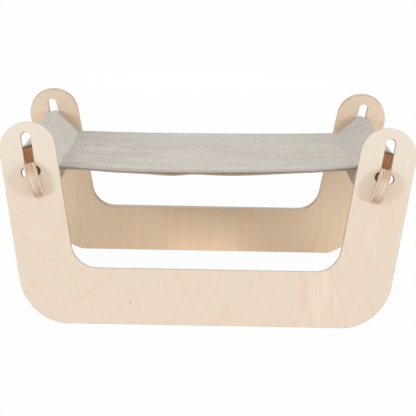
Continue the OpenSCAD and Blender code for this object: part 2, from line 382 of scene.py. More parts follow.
class Plywood:
    """Shader of one plywood board. Its places are in mm: across the grain, along it from the foot, and
    through the plies."""

    def __init__(self, name, settings, node, across, along, seed):
        through = across.cross(along)
        points = np.array([v.co for v in frame["nodes"][node].data.vertices])
        origin = through * float((points @ through).min()) + along * float((points @ along).min())
        axes = Matrix((across, along, through)).transposed()
        self.settings = settings
        self.seed = seed
        self.thickness = settings.thickness / MM
        self.ply = self.thickness / settings.plies
        self.material, self.tree = new_material(name)
        tree = self.tree
        coord = add(tree, "TexCoord")
        self.spot = coord.outputs["Object"]
        self.place = add(tree, "Mapping", {0: self.spot, "Location": origin, "Rotation": axes.to_euler(),
                                           "Scale": (MM, MM, MM)}, vector_type="TEXTURE")
        self.across, self.along, self.through = add(tree, "SeparateXYZ", {0: self.place}).outputs

        # Veneers, counted from one face, and how squarely each way of the grain is cut
        self.layer = add(tree, "Math", {0: self.through, 1: 1 / self.ply}, "MULTIPLY")
        self.veneer = add(tree, "Math", {0: self.layer}, "FLOOR")
        self.crossed = add(tree, "Math", {0: self.veneer, 1: 2.0}, "FLOORED_MODULO")
        squareness = []
        for way in (along, across):
            facing = add(tree, "VectorMath", {0: coord.outputs["Normal"], 1: way}, "DOT_PRODUCT")
            squareness.append(add(tree, "Math", {0: facing}, "ABSOLUTE"))
        self.along_cut, self.across_cut = squareness
        self.edge = add(tree, "Math", {0: self.along_cut, 1: self.across_cut}, "MAXIMUM")

    def front_half(self):
        """The half of a frame's thickness that faces the front."""
        return add(self.tree, "Math", {0: self.through, 1: self.thickness / 2}, "GREATER_THAN")

    def figured(self, face, bold, straight):
        """Face veneer with late-wood lines: contours of a slope, one line every 70 mm, and of a field that
        wanders over 85 mm across the grain and 250 mm along it."""
        tree = self.tree
        drawn = add(tree, "VectorMath", {0: self.place, 1: (1 / 85, 1 / 250, 0.12)}, "MULTIPLY")
        own_part = (self.seed, self.seed * 0.7, self.seed * 1.3)
        moved = add(tree, "VectorMath", {0: drawn, 1: own_part}, "ADD")
        field = add(tree, "TexNoise", {"Vector": moved, "Scale": 1.0, "Detail": 1.5, "Roughness": 0.3,
                                       "Distortion": 0.1})
        slope = add(tree, "Math", {0: self.across, 1: 1 / 70}, "MULTIPLY")
        height = add(tree, "Math", {0: field, 1: 13.0, 2: slope}, "MULTIPLY_ADD")
        saw = add(tree, "Math", {0: height}, "FRACT")
        line = add(tree, "ValToRGB", {0: saw})
        set_greys(line.color_ramp, ((0.0, 0.0), (0.74, 0.08), (0.93, 1.0), (1.0, 0.0)))
        strength = add(tree, "TexNoise", {"Vector": moved, "Scale": 1.7, "Detail": 1.0})
        shown = add(tree, "MapRange", {0: strength, 1: 0.3, 2: 0.65, 3: 0.35, 4: 1.0})
        figure = add(tree, "Math", {0: line, 1: shown}, "MULTIPLY")
        if straight:
            figure = self.straightened(figure, *straight)
        late = [a * b ** bold for a, b in zip(face, self.settings.figure)]
        return add(tree, "Mix", {0: figure, 6: rgba(face), 7: rgba(late)}, **COLOUR)

    def straightened(self, figure, start, stop):
        """Straight-grained stretch: bands 8 mm wide that run along the grain."""
        tree = self.tree
        half = (stop - start) / 2
        off = add(tree, "Math", {0: self.across, 1: -(start + stop) / 2}, "ADD")
        away = add(tree, "Math", {0: off}, "ABSOLUTE")
        zone = add(tree, "MapRange", {0: away, 1: half - 25, 2: half + 15, 3: 1.0, 4: 0.0}, **SOFT)
        stripe = streaks(tree, self.place, (8, 600, 10), 2.0, 0.55)
        band = add(tree, "MapRange", {0: stripe, 1: 0.38, 2: 0.66, 3: 0.0, 4: 0.5})
        return add(tree, "Mix", {0: zone, 2: figure, 3: band})

    def paint_top_light(self, wood, start, stop, top_light_colour):
        """Painted light and shade: the colour goes over to the top colour towards the uprights' upper ends.
        """
        pale = add(self.tree, "MapRange", {0: self.along, 1: start, 2: stop}, **SOFT)
        return add(self.tree, "Mix", {0: pale, 6: wood, 7: rgba(linear(top_light_colour))}, **COLOUR)

    def paint_rail_light_and_shade(self, wood, at_sides, in_middle):
        """Painted light and shade up the rail: in its middle lighter at the foot and darker at the head; at
        its sides a tone that changes from left to right and from foot to head.
        """
        tree = self.tree
        left_foot, right_foot, side_head = at_sides
        aside = add(tree, "Math", {0: self.across}, "ABSOLUTE")
        middle = add(tree, "MapRange", {0: aside, 1: 25.0, 2: 95.0, 3: 1.0, 4: 0.0}, **SOFT)
        side_foot = add(tree, "MapRange", {0: self.across, 1: 30.0, 2: 110.0, 3: left_foot, 4: right_foot})
        sides, centre = (add(tree, "MapRange", {0: self.along, 1: 5.0, 2: 66.0, 3: foot, 4: head})
                         for foot, head in ((side_foot, side_head), in_middle))
        held = add(tree, "Math", {0: middle, 1: self.front_half()}, "MULTIPLY")
        level = add(tree, "Mix", {0: held, 2: sides, 3: centre})
        return add(tree, "VectorMath", {0: wood, "Scale": level}, "SCALE")

    def patched(self, wood, across, along, half_width, half_length, light, dark):
        """A boat-shaped veneer patch, as plywood makers let in over a flaw, with streaks 7 mm wide."""
        tree = self.tree
        away = add(tree, "VectorMath", {0: self.place, 1: (across, along, 0)}, "SUBTRACT")
        shape = add(tree, "VectorMath", {0: away, 1: (1 / half_width, 1 / half_length, 0)}, "MULTIPLY")
        reach = add(tree, "VectorMath", {0: shape}, "LENGTH")
        inside = add(tree, "MapRange", {0: reach, 1: 0.97, 2: 1.0, 3: 1.0, 4: 0.0})
        held = add(tree, "Math", {0: inside, 1: self.front_half()}, "MULTIPLY")
        wavy = streaks(tree, away, (7, 160, 0), 2.0)
        streak = add(tree, "MapRange", {0: wavy, 1: 0.42, 2: 0.66, 3: 0.1, 4: 1.0})
        let_in = add(tree, "Mix", {0: streak, 6: rgba(linear(light)), 7: rgba(linear(dark))}, **COLOUR)
        return add(tree, "Mix", {0: held, 6: wood, 7: let_in}, **COLOUR)

    def knotted(self, wood, across, along, radius):
        """A pin knot, longer along the grain."""
        tree = self.tree
        gap = add(tree, "VectorMath", {0: self.place, 1: (across, along, 0)}, "SUBTRACT")
        flat = add(tree, "VectorMath", {0: gap, 1: (1.0, 0.6, 0.0)}, "MULTIPLY")
        away = add(tree, "VectorMath", {0: flat}, "LENGTH")
        spot = add(tree, "MapRange", {0: away, 1: 0.35 * radius, 2: radius, 3: 0.5, 4: 0.0}, **SOFT)
        return add(tree, "Mix", {0: spot, 6: wood, 7: rgba(self.settings.knot)}, **COLOUR)

    def plied(self, wood, end_grain, glue):
        """Plies: every other veneer lies across the face grain, so a cut edge shows its end grain, with
        lines of glue between."""
        tree = self.tree
        cut = add(tree, "Mix", {0: self.crossed, 2: self.along_cut, 3: self.across_cut})
        end = add(tree, "MapRange", {0: cut, 1: 0.25, 2: 0.9}, **SOFT)
        cross_end = rgba(self.settings.cross_end_grain)
        end_wood = add(tree, "Mix", {0: self.crossed, 6: rgba(end_grain), 7: cross_end}, **COLOUR)
        cut_wood = add(tree, "Mix", {0: end, 6: wood, 7: end_wood}, **COLOUR)
        joint = add(tree, "Math", {0: self.layer, 1: 1.0}, "PINGPONG")
        line = add(tree, "MapRange", {0: joint, 1: 0.0, 2: 0.14, 3: glue, 4: 0.0})
        shown = add(tree, "Math", {0: line, 1: self.edge}, "MULTIPLY")
        return add(tree, "Mix", {0: shown, 6: cut_wood, 7: rgba(self.settings.knot)}, **COLOUR)

    def shaded_in_slot(self, wood, reach):
        """Painted shade on the ends of a crossbar, as far out as the middle of a frame, where they lie in
        the shade of the frames' slots: brown on the shoulders in the stripes of their plies, and on the bare
        wood beside them. The hooks outside stay pale."""
        tree = self.tree
        _, y, z = add(tree, "SeparateXYZ", {0: self.spot}).outputs
        out = add(tree, "Math", {0: y}, "ABSOLUTE")
        level_out = add(tree, "Math", {0: z, 1: math.tan(self.settings.splay), 2: out}, "MULTIPLY_ADD")
        inside = add(tree, "Math", {0: level_out, 1: reach}, "LESS_THAN")
        facing = add(tree, "MapRange", {0: self.along_cut, 1: 0.6, 2: 0.85})
        middle = add(tree, "Math", {0: self.through, 1: self.thickness / 2, 2: self.ply * 3.7}, "COMPARE")
        core = add(tree, "Math", {0: facing, 1: middle}, "MULTIPLY")
        plies = add(tree, "MapRange", {0: self.crossed, 1: 0.0, 2: 1.0, 3: 1.0, 4: 0.72})
        striped = add(tree, "Math", {0: core, 1: plies}, "MULTIPLY")
        bare = add(tree, "MapRange", {0: level_out, 1: reach - 26 * MM, 2: reach - 16 * MM, 3: 0.0, 4: 0.85})
        bare_end_shade = add(tree, "Math", {0: bare, 1: facing}, "SUBTRACT", use_clamp=True)
        spread = add(tree, "Math", {0: striped, 1: bare_end_shade}, "MAXIMUM")
        browned = add(tree, "Math", {0: inside, 1: spread}, "MULTIPLY")
        return add(tree, "Mix", {0: browned, 6: wood, 7: rgba(self.settings.slot_shade)}, **COLOUR)

    def paint_slot_wall_shade(self, wood, aside, low, high):
        """Painted shade on the walls of the cross slots, brown where they lie in shade."""
        tree = self.tree
        sideways = add(tree, "Math", {0: self.across}, "ABSOLUTE")
        near = add(tree, "Math", {0: sideways, 1: aside, 2: 20.0}, "COMPARE")
        level = add(tree, "Math", {0: self.along, 1: (low + high) / 2, 2: (high - low) / 2}, "COMPARE")
        wall = add(tree, "MapRange", {0: self.edge, 1: 0.6, 2: 0.9})
        held = add(tree, "Math", {0: near, 1: level}, "MULTIPLY")
        walls = add(tree, "Math", {0: held, 1: wall}, "MULTIPLY")
        return add(tree, "Mix", {0: walls, 6: wood, 7: rgba(self.settings.slot_shade)}, **COLOUR)

    def lacquered(self, wood):
        """Finished surface: fibres 0.7 mm wide and some 35 mm long, short pores, a tone of its own for every
        veneer that a cut edge shows, and the lacquer's sheen."""
        tree = self.tree
        fibre = streaks(tree, self.place, (0.7, 35, 0.7), 2.0, 0.6)
        pore = streaks(tree, self.place, (1.1, 8, 1.1), 1.0)
        fleck = add(tree, "MapRange", {0: pore, 1: 0.66, 2: 0.8, 3: 0.0, 4: 0.07})
        fibre_tone = add(tree, "MapRange", {0: fibre, 1: 0.25, 2: 0.75, 3: 0.975, 4: 1.02})
        tone = add(tree, "Math", {0: fibre_tone, 1: fleck}, "SUBTRACT")
        seeded = add(tree, "Math", {0: self.veneer, 1: self.seed}, "ADD")
        own = add(tree, "TexWhiteNoise", {"W": seeded}, noise_dimensions="1D")
        own_tone = add(tree, "MapRange", {0: own, 1: 0.0, 2: 1.0, 3: 0.82, 4: 1.12})
        edge_tone = add(tree, "Mix", {0: self.edge, 2: tone, 3: own_tone})
        toned = add(tree, "VectorMath", {0: wood, "Scale": edge_tone}, "SCALE")
        grain = add(tree, "Math", {0: fibre, 1: 0.6, 2: pore}, "MULTIPLY_ADD")
        relief = add(tree, "Bump", {"Strength": 0.35, "Distance": 0.12 * MM, "Height": grain})
        sheen = add(tree, "MapRange", {0: fibre, 1: 0.3, 2: 0.7, 3: 0.5, 4: 0.6})
        shader = add(tree, "BsdfPrincipled", {"Base Color": toned, "Roughness": sheen, "Normal": relief,
                                              "IOR": 1.5})
        add(tree, "OutputMaterial", {0: shader})


def birch_plywood(name, settings, node, face, across, along, seed, bold, straight=None, tops=None,
                  drift=None, patch=None, knots=(), shaded_in_slot=None, cross_slot=None):
    """Birch plywood, rotary-cut and sanded, under matt lacquer: pale, with wandering late-wood lines, fine
    fibres, a few pin knots, and plies that show on every cut edge."""
    board = Plywood(name, settings, node, across, along, seed)
    wood = board.figured(face, bold, straight)
    # Painted light and shade towards the upper ends of the uprights
    if tops:
        wood = board.paint_top_light(wood, *tops)
    # Painted light and shade up the rail
    if drift:
        wood = board.paint_rail_light_and_shade(wood, *drift)
    if patch:
        wood = board.patched(wood, **patch)
    for knot in knots:
        wood = board.knotted(wood, *knot)
    # Crossbars: painted shade on their ends inside the slots
    if shaded_in_slot:
        wood = board.plied(wood, settings.bar_end_grain, glue=0.45)
        wood = board.shaded_in_slot(wood, shaded_in_slot)
    else:
        wood = board.plied(wood, settings.end_grain, glue=0.2)
    # Painted shade on the walls of the cross slots
    if cross_slot:
        wood = board.paint_slot_wall_shade(wood, *cross_slot)
    board.lacquered(wood)
    return board.material


def mixed_yarns(tree, place, light, dark, band):
    """Yarns of several tones, with slubs along the cloth and across it, and faint browner bands along it.
    The slubs are drawn 2 to 4 mm wide, coarser than real ones, so that they show."""
    warp = streaks(tree, place, (24, 4, 0), 3.0, 0.7)
    weft = streaks(tree, place, (2.2, 26, 0), 2.0, 0.7)
    slubs = add(tree, "Math", {0: warp, 1: weft}, "ADD")
    cloud = add(tree, "TexNoise", {"Vector": place, "Scale": 1 / 45, "Detail": 2.0})
    clouded = add(tree, "Math", {0: cloud, 1: 0.12, 2: slubs}, "MULTIPLY_ADD")
    share = add(tree, "MapRange", {0: clouded, 1: 0.6, 2: 1.52})
    yarns = add(tree, "Mix", {0: share, 6: rgba(light), 7: rgba(dark)}, **COLOUR)
    streak = streaks(tree, place, (110, 28, 0), 3.0)
    browner = add(tree, "MapRange", {0: streak, 1: 0.35, 2: 0.65})
    banded = add(tree, "Mix", {0: browner, 6: yarns, 7: rgba(band)}, blend_type="MULTIPLY", **COLOUR)
    return banded, slubs


def paint_shade_along(tree, cloth, run, painted_shade_stops):
    """Cloth with painted shade along the sling: it is darker towards its seams."""
    first, last = painted_shade_stops[0][0], painted_shade_stops[-1][0]
    share = add(tree, "MapRange", {0: run, 1: first, 2: last})
    shade = add(tree, "ValToRGB", {0: share})
    set_greys(shade.color_ramp, [((at - first) / (last - first), level) for at, level in painted_shade_stops])
    return add(tree, "Mix", {0: 1.0, 6: cloth, 7: shade}, blend_type="MULTIPLY", **COLOUR)


def paint_fold_light(tree, place, run):
    """Painted light and shade of the folds, a little paler where they lean to the front, towards the lamps,
    and painted light and shade of fine pull creases, 6 mm wide, up the right pocket."""
    fold = add(tree, "Attribute", attribute_name="fold")
    lean = add(tree, "MapRange", {0: fold.outputs["Fac"], 1: -0.3, 2: 0.3, 3: 0.94, 4: 1.06})
    pull = streaks(tree, place, (160, 6, 0), 1.0)
    pulled = add(tree, "MapRange", {0: pull, 1: 0.3, 2: 0.7, 3: -0.05, 4: 0.05})
    pocket = add(tree, "MapRange", {0: run, 1: 188.0, 2: 196.0})
    return add(tree, "Math", {0: pulled, 1: pocket, 2: lean}, "MULTIPLY_ADD")


def hemmed(tree, cloth, run, across, hem, fold, doubled, shaded_edge, shaded_corner_edge):
    """Cloth with its hems, which are duller, and with painted shade on the folded edge at their outside, in
    a colour of its own by the corners."""
    aside = add(tree, "Math", {0: across}, "ABSOLUTE")
    on_hem = add(tree, "MapRange", {0: aside, 1: hem - 1.5, 2: hem + 1.5})
    dulled = add(tree, "Mix", {0: on_hem, 6: cloth, 7: rgba(doubled)}, blend_type="MULTIPLY", **COLOUR)
    folded = add(tree, "MapRange", {0: aside, 1: fold - 0.6, 2: fold + 0.4}, **SOFT)
    from_middle = add(tree, "Math", {0: run}, "ABSOLUTE")
    by_corner = add(tree, "MapRange", {0: from_middle, 1: 100.0, 2: 150.0})
    edge = add(tree, "Mix", {0: by_corner, 6: rgba(shaded_edge), 7: rgba(shaded_corner_edge)}, **COLOUR)
    return add(tree, "Mix", {0: folded, 6: dulled, 7: edge}, **COLOUR)


def melange_canvas(name, settings, light, dark, shaded_edge, shaded_corner_edge, half_width, painted_shade_stops=None):
    """Plain-woven cotton canvas of mixed yarns: matt, with light and dark slubs both ways, duller on its
    hems, with painted shade along its folded edges and by its seams. The threads are drawn 1.3 mm apart,
    about twice as coarse as real ones, so that the weave shows."""
    pitch = 1.3
    material, tree = new_material(name)
    coord = add(tree, "TexCoord")
    place = add(tree, "Mapping", {0: coord.outputs["UV"], "Scale": (1 / MM, 1 / MM, 1.0)})
    run, across, _ = add(tree, "SeparateXYZ", {0: place}).outputs
    cloth, slubs = mixed_yarns(tree, place, light, dark, settings.band)
    # Painted shade along the sling, darker towards the seams
    if painted_shade_stops:
        cloth = paint_shade_along(tree, cloth, run, painted_shade_stops)
    toned = add(tree, "VectorMath", {0: cloth, "Scale": paint_fold_light(tree, place, run)}, "SCALE")
    cloth = hemmed(tree, toned, run, across, (half_width - settings.hem) / MM, half_width / MM,
                   settings.doubled, shaded_edge, shaded_corner_edge)

    # Over and under: two sets of ridges, each on top in every other cell
    turns = add(tree, "VectorMath", {0: place, 1: (math.pi / pitch, math.pi / pitch, 0.0)}, "MULTIPLY")
    along_turn, across_turn, _ = add(tree, "SeparateXYZ", {0: turns}).outputs
    along_wave = add(tree, "Math", {0: along_turn}, "SINE")
    across_wave = add(tree, "Math", {0: across_turn}, "SINE")
    weave = add(tree, "Math", {0: along_wave, 1: across_wave}, "MULTIPLY")
    rough = add(tree, "Math", {0: slubs, 1: 0.8, 2: weave}, "MULTIPLY_ADD")
    relief = add(tree, "Bump", {"Strength": 0.4, "Distance": 0.25 * MM, "Height": rough})
    shader = add(tree, "BsdfPrincipled", {"Base Color": cloth, "Roughness": 0.92, "Normal": relief,
                                          "IOR": 1.5, "Specular IOR Level": 0.12})
    add(tree, "OutputMaterial", {0: shader})
    return material


def sewing_thread(name, settings):
    """Twisted polyester thread: a little brighter than the canvas, with its twist in slanting bands, about
    0.5 mm from one to the next."""
    material, tree = new_material(name)
    coord = add(tree, "TexCoord")
    twist = add(tree, "TexWave", {"Vector": coord.outputs["Object"], "Scale": 0.55 / (0.5 * MM),
                                  "Distortion": 1.0}, bands_direction="DIAGONAL").outputs["Fac"]
    tone = add(tree, "MapRange", {0: twist, 1: 0.0, 2: 1.0, 3: 0.86, 4: 1.04})
    shade = add(tree, "VectorMath", {0: tuple(settings.sewing), "Scale": tone}, "SCALE")
    relief = add(tree, "Bump", {"Strength": 0.5, "Distance": 0.1 * MM, "Height": twist})
    shader = add(tree, "BsdfPrincipled", {"Base Color": shade, "Roughness": 0.7, "Normal": relief,
                                          "IOR": 1.5})
    add(tree, "OutputMaterial", {0: shader})
    return material


def seen_by_eye(tree):
    """1 for the rays that show the studio to the camera, also in a mirror or through glass, else 0."""
    ray = add(tree, "LightPath")
    seen = ray.outputs["Is Camera Ray"]
    for kind in ("Is Glossy Ray", "Is Transmission Ray"):
        seen = add(tree, "Math", {0: seen, 1: ray.outputs[kind]}, "MAXIMUM")
    return seen


# Sling


def smooth(low, high, x):
    """Soft step from 0 at low to 1 at high."""
    share = np.clip((x - low) / (high - low), 0, 1)
    return share * share * (3 - 2 * share)


class Sling:
    """Mid-surface of the canvas, taken from the solids and the settings."""

    def __init__(self, settings):
        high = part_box("bed_upper")[1]
        self.settings = settings
        self.half_length = high.x
        self.half_width = high.y
        self.seam_z = high.z - settings.thickness / 2
        self.layer_step = settings.thickness + LAYER_GAP
        joint = next(j for j in frame["joints"] if j["child"] == "right_bar")
        self.pivot = (abs(joint["pos_m"][0]), joint["pos_m"][2])

    def edge(self, side, y):
        """Distance of the seam from the middle: the pull of the bed bows it inwards, and the front corner
        on the right is drawn in, so that the pocket's mouth shows there."""
        along = y / self.half_width
        drawn = self.settings.corner_pull * smooth(-0.8, -1.0, along) if side > 0 else 0.0
        return self.half_length - self.settings.seam_bow * (1 - along ** 2) ** 2 - drawn

    def seam(self, side, y):
        """Height of the seam, between its front and rear corners."""
        word = "left" if side < 0 else "right"
        front = getattr(self.settings, "lift_front_" + word)
        rear = getattr(self.settings, "lift_rear_" + word)
        share = (y / self.half_width + 1) / 2
        return self.seam_z + front + (rear - front) * share

    def upper(self, x, y):
        """Height of the upper layer at x, y: straight between the seams, less the sag, which grows to the
        front, with the folds."""
        share = (x / self.half_length + 1) / 2
        line = self.seam(-1, y) * (1 - share) + self.seam(1, y) * share
        back = (y / self.half_width + 1) / 2
        sag = self.settings.sag_rear + (self.settings.sag_front - self.settings.sag_rear) * (1 - back) ** 1.4
        inward = 1 - np.abs(x) / self.half_length
        return line - sag * np.where(x < 0, self.late_hang(inward), self.hang(inward)) + self.folds(x, y)

    def hang(self, inward):
        """Share of the sag at a share of the way in from the seam: most of it comes soon."""
        return 1 - (1 - inward) ** 2.5

    def late_hang(self, inward):
        """The same on the left, where the bed stays level for a tenth of the way and then drops."""
        level, ease = 0.1, 0.06
        past = (inward - level) / (1 - level)
        late = (past + np.sqrt(past ** 2 + ease ** 2)) / 2
        return 1 - (1 - late) ** 3

    def folds(self, x, y):
        """Pull folds that run in from the seams, drift to the front and die out."""
        total = np.zeros_like(x + y)
        for side, place, drift, width, depth, reach in PULLS:
            run = self.half_length - side * x
            near = smooth(0.0, FOLD_START, run) * np.exp(-(run / reach) ** 2)
            near = near * (run < FOLD_END * self.half_length)
            line = place - drift * (1 - np.exp(-run / FOLD_DRIFT))
            total = total + depth * near * np.exp(-((y - line) / width) ** 2)
        return total

    def mark_folds(self, piece):
        """Slope of the folds towards the front, kept on the cloth's points for the painted light and shade
        of its folds.
        """
        points = np.zeros(len(piece.data.vertices) * 3, np.float32)
        piece.data.vertices.foreach_get("co", points)
        x, y = points[0::3], points[1::3]
        slope = (self.folds(x, y + MM) - self.folds(x, y - MM)) / (2 * MM)
        kept = piece.data.attributes.new("fold", "FLOAT", "POINT")
        kept.data.foreach_set("value", slope.astype(np.float32))

    def under(self, x, y):
        """Height of the under layer, which hangs away in two shallow bellies behind its front edge."""
        hang = 0.2 * MM
        for left, right, depth, lean in BELLIES:
            share = np.clip((x - left) / (right - left), 0, 1) ** lean
            hang = hang + depth * np.sin(math.pi * share) ** 2
        # Most of it near the front edge, less at the edge itself, and none at the seams
        front = smooth(0.3, -1.0, y / self.half_width) * smooth(-2 * MM, 5 * MM, y + self.half_width)
        off_seam = smooth(0.0, 0.1, 1 - np.abs(x) / self.half_length)
        return self.upper(x, y) - self.layer_step - hang * front * off_seam

    def bar_point(self, inward, up, tilt):
        """Point of a crossbar's own axes as distance from the middle and height."""
        return np.array([self.pivot[0] - inward * math.cos(tilt) + up * math.sin(tilt),
                         self.pivot[1] + inward * math.sin(tilt) + up * math.cos(tilt)])


def unit(vector):
    return vector / np.linalg.norm(vector)


def rounded(points, radius, straight, arc):
    """Polyline with rounded inner corners: a fixed count of points on each straight and each arc."""
    out = []
    start = points[0]
    for before, here, after, count in zip(points, points[1:], points[2:], straight):
        behind, ahead = unit(before - here), unit(after - here)
        half = math.acos(float(np.clip(behind @ ahead, -1, 1))) / 2
        cut = radius / math.tan(half)
        stop, leave = here + behind * cut, here + ahead * cut
        out += [start + (stop - start) * k / count for k in range(count)]
        centre = here + unit(behind + ahead) * radius / math.sin(half)
        first, last = stop - centre, leave - centre
        turn = math.acos(float(np.clip(first @ last / radius ** 2, -1, 1)))
        for k in range(arc):
            done = turn * k / arc
            spoke = (math.sin(turn - done) * first + math.sin(done) * last) / math.sin(turn)
            out.append(centre + spoke)
        start = leave
    out += [start + (points[-1] - start) * k / straight[-1] for k in range(straight[-1])]
    return out + [points[-1]]


def hem_rows(sling, settings):
    """Places across the cloth, close together at the hems, and how far the hem stands up at each."""
    half_width, hem = sling.half_width, settings.hem
    # Places on the hem as shares of its width, then some in mm on both sides of its inner edge
    inset = np.array([0.0, 0.05, 0.15, 0.325, 0.525, 0.725, 0.825]) * hem
    inset = np.append(inset, hem + np.array([-0.9, -0.3, 0.3, 1.2]) * MM)
    field_end = half_width - hem - 3.5 * MM
    field = np.linspace(-field_end, field_end, FIELD_ROWS)
    rows = np.concatenate([inset - half_width, field, (half_width - inset)[::-1]])
    edge = half_width - np.abs(rows)
    stand = settings.hem_height * (1 - smooth(hem - 0.5 * MM, hem + 0.5 * MM, edge))
    stitched = np.exp(-((edge - (hem - STITCH_INSET)) / (0.7 * MM)) ** 2)
    return rows, stand * (1 - HEM_DIP * stitched)


def wrapped(paths, rows, stand, thickness, flip, seam, half_length):
    """Closed cloth round a bundle of paths, one for each row: outer face, rounded hem edges, inner face.
    Each path has one extra point before its first, which only gives the direction there. The cloth's U
    is the run along the path, with the seam, at the given point, at half the bed's length."""
    paths = np.asarray(paths)
    tangent = np.gradient(paths, axis=1)
    tangent /= np.linalg.norm(tangent, axis=2, keepdims=True)
    normals = np.stack([-tangent[:, :, 1], tangent[:, :, 0]], axis=2) * flip
    paths, normals = paths[:, 1:], normals[:, 1:]
    steps = np.linalg.norm(np.diff(paths, axis=1), axis=2)
    run = np.concatenate([np.zeros((len(rows), 1)), np.cumsum(steps, axis=1)], axis=1)
    to_seam = run[:, seam:seam + 1]
    run = np.where(run < to_seam, run * half_length / to_seam, run + half_length - to_seam)

    # One loop round the cloth, as row, place across it and rise off the path
    half_thick = thickness / 2
    last = len(rows) - 1
    middle = stand[last] / 2
    bulge = half_thick + middle
    loop = [(j, rows[j], half_thick + stand[j]) for j in range(len(rows))]
    loop += [(last, rows[last] + out * bulge, middle + up * bulge) for out, up in HEM_CAP]
    loop += [(j, rows[j], -half_thick) for j in range(last, -1, -1)]
    loop += [(0, rows[0] - out * bulge, middle + up * bulge) for out, up in reversed(HEM_CAP)]
    points, uv = [], []
    count = paths.shape[1]
    for i in range(count):
        for j, y, rise in loop:
            x, z = paths[j, i] + normals[j, i] * rise
            points.append((x, y, z))
            uv.append((run[j, i], y))
    around = len(loop)
    faces = []
    for first in range(0, (count - 1) * around, around):
        for k in range(around):
            beside = (k + 1) % around
            faces.append((first + k, first + beside, first + around + beside, first + around + k))
    faces += [tuple(range(around - 1, -1, -1)), tuple((count - 1) * around + k for k in range(around))]
    return Cloth(points, faces, uv, paths, normals)


def lay(name, side, cloth):
    """Cloth piece on one side of the middle, its faces turned outwards."""
    points = [(side * x, y, z) for x, y, z in cloth.points]
    uv = [(side * u, v) for u, v in cloth.uv]
    piece = mesh_piece(name, points, cloth.faces, uv)
    only(piece)
    bpy.ops.object.mode_set(mode="EDIT")
    bpy.ops.mesh.select_all(action="SELECT")
    bpy.ops.mesh.normals_make_consistent(inside=False)
    bpy.ops.object.mode_set(mode="OBJECT")
    bpy.ops.object.shade_smooth_by_angle(angle=math.radians(55))
    return piece


def follow_bar(piece):
    """Bakes the piece's place into its points."""
    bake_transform(piece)


def bed_places(stop, count):
    """Distances from the middle to the given one, with one extra before the first."""
    places = np.linspace(0, stop, count)
    return np.concatenate([[-places[1]], places])


def upper_paths(sling, settings, plywood, side, rows):
    """For each row: from the middle along the bed to the seam, and round the crossbar back to the seam."""
    off = settings.fit + settings.thickness / 2
    inner = settings.seat_shift + plywood.thickness / 2 + off
    outer = settings.seat_shift - plywood.thickness / 2 - off
    top, low = settings.bar_above + off, -settings.bar_below - off
    corners = [sling.bar_point(inward, up, plywood.tilt)
               for inward, up in ((inner, top), (outer, top), (outer, low), (inner, low))]
    paths = []
    for y in rows:
        bed = bed_places(sling.edge(side, y) - SEAM_LEAD, UPPER_STEPS)
        flat = np.stack([bed, sling.upper(side * bed, y)], axis=1)
        seam = np.array([sling.edge(side, y), float(sling.seam(side, y))])
        back = seam + np.array([SEAM_PAST, -sling.layer_step])
        pocket = rounded([flat[-1], seam, *corners, back], TURN_RADIUS, POCKET_STEPS, TURN_STEPS)
        paths.append(np.concatenate([flat[:-1], pocket]))
    return paths


def under_paths(sling, side, rows):
    """For each row: from the middle along the under layer to the seam."""
    paths = []
    for y in rows:
        bed = bed_places(sling.edge(side, y), UNDER_STEPS)
        paths.append(np.stack([bed, sling.under(side * bed, y)], axis=1))
    return paths


def stitch_shape(thread, pitch):
    """One stitch: a small ball drawn out along X."""
    bpy.ops.object.select_all(action="DESELECT")
    bpy.ops.mesh.primitive_uv_sphere_add(segments=6, ring_count=5, radius=1,
                                         rotation=(0, math.pi / 2, 0))
    ball = bpy.context.active_object
    bpy.ops.object.transform_apply(location=False, rotation=True, scale=False)
    bpy.ops.object.mode_set(mode="EDIT")
    bpy.ops.mesh.select_all(action="SELECT")
    bpy.ops.transform.resize(value=(0.36 * pitch, thread / 2, thread / 2))
    bpy.ops.object.mode_set(mode="OBJECT")
    points = np.array([v.co for v in ball.data.vertices])
    faces = [tuple(p.vertices) for p in ball.data.polygons]
    mesh = ball.data
    bpy.data.objects.remove(ball)
    bpy.data.meshes.remove(mesh)
    return points, faces


def stitch_lines(cloth, rows, share, sling, canvas):
    """Lines of stitches on one layer, as points and normals: along its seam and along both hems, which have
    a share of the full hem's height."""
    half_thick = canvas.thickness / 2
    paths, normals = cloth.paths, cloth.normals
    count = paths.shape[1]
    on_bed = min(UPPER_SEAM + 2, count)
    near = int(np.argmin(np.abs(paths[0, :on_bed, 0] - (sling.half_length - SEAM_INSET))))
    inner = np.abs(rows) < sling.half_width - 2 * MM
    seam = np.stack([paths[:, near, 0], rows, paths[:, near, 1]], axis=1)
    up = np.stack([normals[:, near, 0], 0 * rows, normals[:, near, 1]], axis=1)
    lines = [((seam + up * half_thick)[inner], up[inner])]
    raised = half_thick + canvas.hem_height * (1 - HEM_DIP) * share
    for end in ENDS.values():
        row = int(np.argmin(np.abs(rows - end * (sling.half_width - canvas.hem + STITCH_INSET))))
        edge = np.stack([paths[row, :, 0], np.full(count, rows[row]), paths[row, :, 1]], axis=1)
        out = np.stack([normals[row, :, 0], np.zeros(count), normals[row, :, 1]], axis=1)
        lines.append((edge + out * raised, out))
    return lines


def at_run(place, run, values):
    """Point or normal of a line at a given place of its run."""
    return np.array([np.interp(place, run, values[:, axis]) for axis in range(3)])


def sewn(name, side, lines, shape, pitch):
    """Rows of stitches along lines of points and normals, on one side of the middle."""
    base, base_faces = shape
    mirror = np.array([side, 1, 1])
    points, faces = [], []
    for line, normals in lines:
        line, normals = line * mirror, normals * mirror
        steps = np.linalg.norm(np.diff(line, axis=0), axis=1)
        run = np.concatenate([[0], np.cumsum(steps)])
        for place in np.arange(pitch / 2, run[-1], pitch):
            way = unit(at_run(place + 0.3 * pitch, run, line) - at_run(place - 0.3 * pitch, run, line))
            up = at_run(place, run, normals)
            up = unit(up - way * (up @ way))
            axes = np.stack([way, np.cross(up, way), up])
            first = len(points)
            points += list(at_run(place, run, line) + base @ axes)
            faces += [tuple(first + k for k in face) for face in base_faces]
    piece = mesh_piece(name, points, faces)
    only(piece)
    bpy.ops.object.shade_smooth()
    return piece


# Operators


